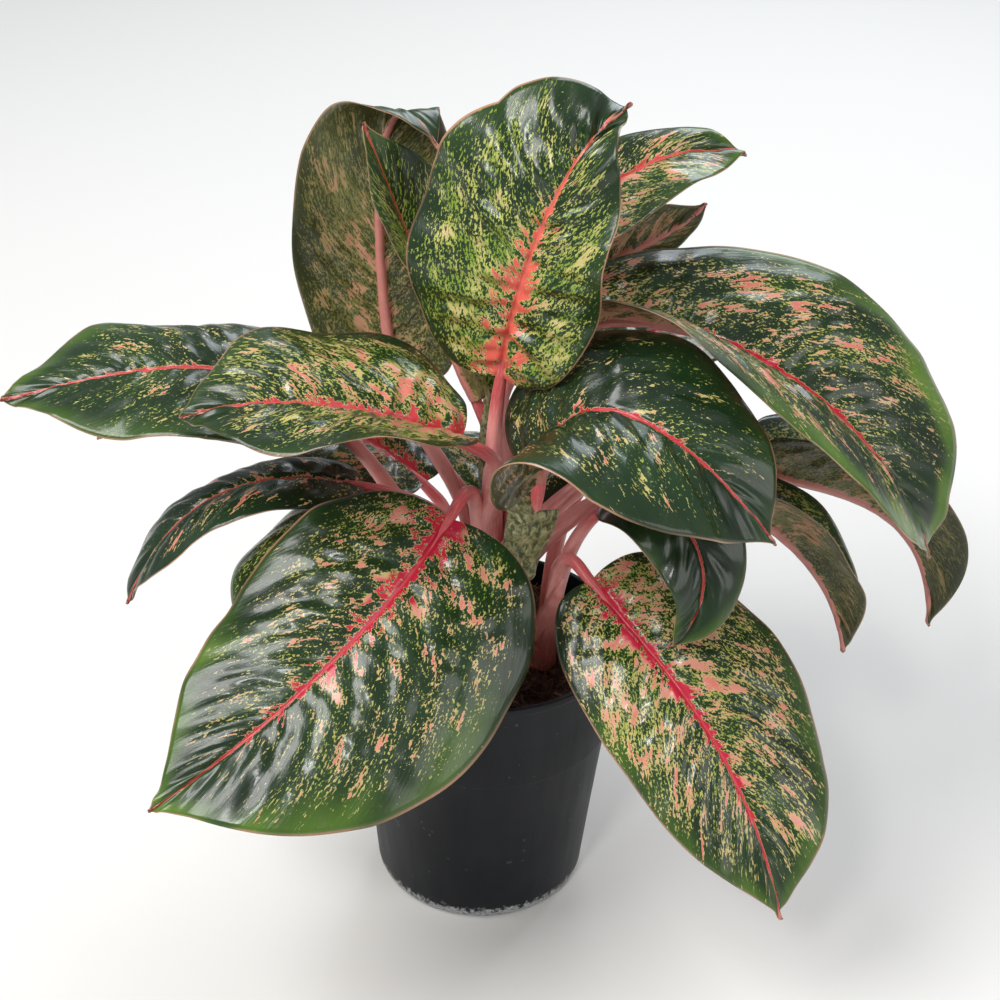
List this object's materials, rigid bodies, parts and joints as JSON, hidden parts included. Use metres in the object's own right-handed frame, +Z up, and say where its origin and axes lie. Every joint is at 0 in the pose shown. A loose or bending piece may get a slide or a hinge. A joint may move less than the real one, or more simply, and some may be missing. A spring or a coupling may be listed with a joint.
{
  "type": "potted aroid plant",
  "caption": "Broad-leaved aglaonema with red and yellow speckled arching leaves on pink stalks, standing in soil in a plain tapered nursery pot.",
  "frame": {"origin": "middle of the pot's flat underside", "axes": "+Z up along the pot's axis; the plant's broad front looks along -Y, so +X is to its right as seen from the front"},
  "size_m": [0.4199, 0.2952, 0.3834],
  "materials": {
    "pot_plastic": "satin black, slightly scuffed, pale mineral crust at the foot",
    "soil_mix": "loose dark coir and shredded bark, dull and rough",
    "shoot_flesh": "smooth pink waxy skin",
    "leaf_blade": "glossy green leaf, speckled yellow and salmon, with a red midrib"
  },
  "bodies": {
    "root": {"pot": "pot_plastic", "soil": "soil_mix", "shoot_main": "shoot_flesh", "shoot_left": "shoot_flesh", "shoot_right": "shoot_flesh", "blade_crown_front": "leaf_blade", "blade_back_left": "leaf_blade", "blade_young": "leaf_blade", "blade_top_right": "leaf_blade", "blade_top_right_low": "leaf_blade", "blade_right_arch": "leaf_blade", "blade_right_dark": "leaf_blade", "blade_right_hanging": "leaf_blade", "blade_front_right": "leaf_blade", "blade_front_left": "leaf_blade", "blade_left_near": "leaf_blade", "blade_left_far": "leaf_blade", "blade_left_low": "leaf_blade", "blade_left_behind": "leaf_blade", "blade_right_far": "leaf_blade", "blade_right_low": "leaf_blade", "blade_rear_high": "leaf_blade", "blade_rear_right": "leaf_blade", "blade_rear_left": "leaf_blade", "blade_rear_low_right": "leaf_blade", "blade_rear_low": "leaf_blade"}
  },
  "joints": []
}
